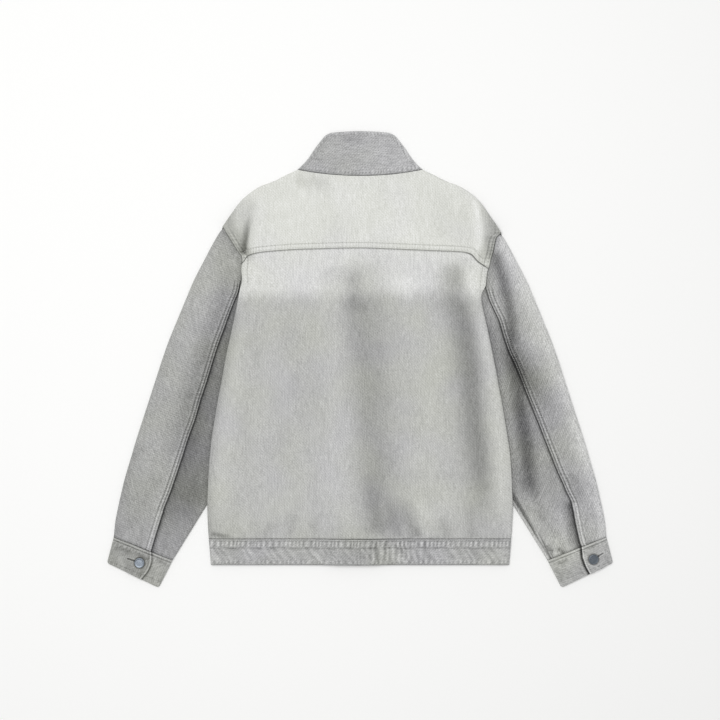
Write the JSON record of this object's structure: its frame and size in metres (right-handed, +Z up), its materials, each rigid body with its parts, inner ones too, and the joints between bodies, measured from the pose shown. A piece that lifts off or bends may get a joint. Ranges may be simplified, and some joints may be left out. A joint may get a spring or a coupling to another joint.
{
  "type": "denim jacket",
  "caption": "A pale grey washed denim jacket laid flat on its front, back upwards, with its collar raised and its sleeves drawn down beside the body.",
  "frame": {"origin": "Middle of the jacket's outline, on the surface it lies on.", "axes": "+X to the right across the back, +Y towards the collar, +Z up, out of the jacket's back."},
  "size_m": [0.859, 0.7747, 0.0143],
  "materials": {
    "denim_body": "pale grey washed twill, bleached below the yoke",
    "denim_yoke": "near white washed twill",
    "denim_sleeve": "pale grey washed twill",
    "denim_trim": "doubled washed twill with worn, puckered edges",
    "thread": "pale grey topstitching thread",
    "button_metal": "slate grey plated metal, pressed"
  },
  "bodies": {
    "root": {"back_panel": "denim_body", "yoke": "denim_yoke", "front_left": "denim_body", "front_right": "denim_body", "hem_band": "denim_trim", "collar": "denim_trim", "sleeve_left_top": "denim_sleeve", "sleeve_left_under": "denim_sleeve", "vent_left": "denim_trim", "cuff_left": "denim_trim", "cuff_button_left": "button_metal", "sleeve_right_top": "denim_sleeve", "sleeve_right_under": "denim_sleeve", "vent_right": "denim_trim", "cuff_right": "denim_trim", "cuff_button_right": "button_metal", "front_button_1": "button_metal", "front_button_2": "button_metal", "front_button_3": "button_metal", "front_button_4": "button_metal", "front_button_5": "button_metal", "front_button_6": "button_metal"}
  },
  "joints": []
}
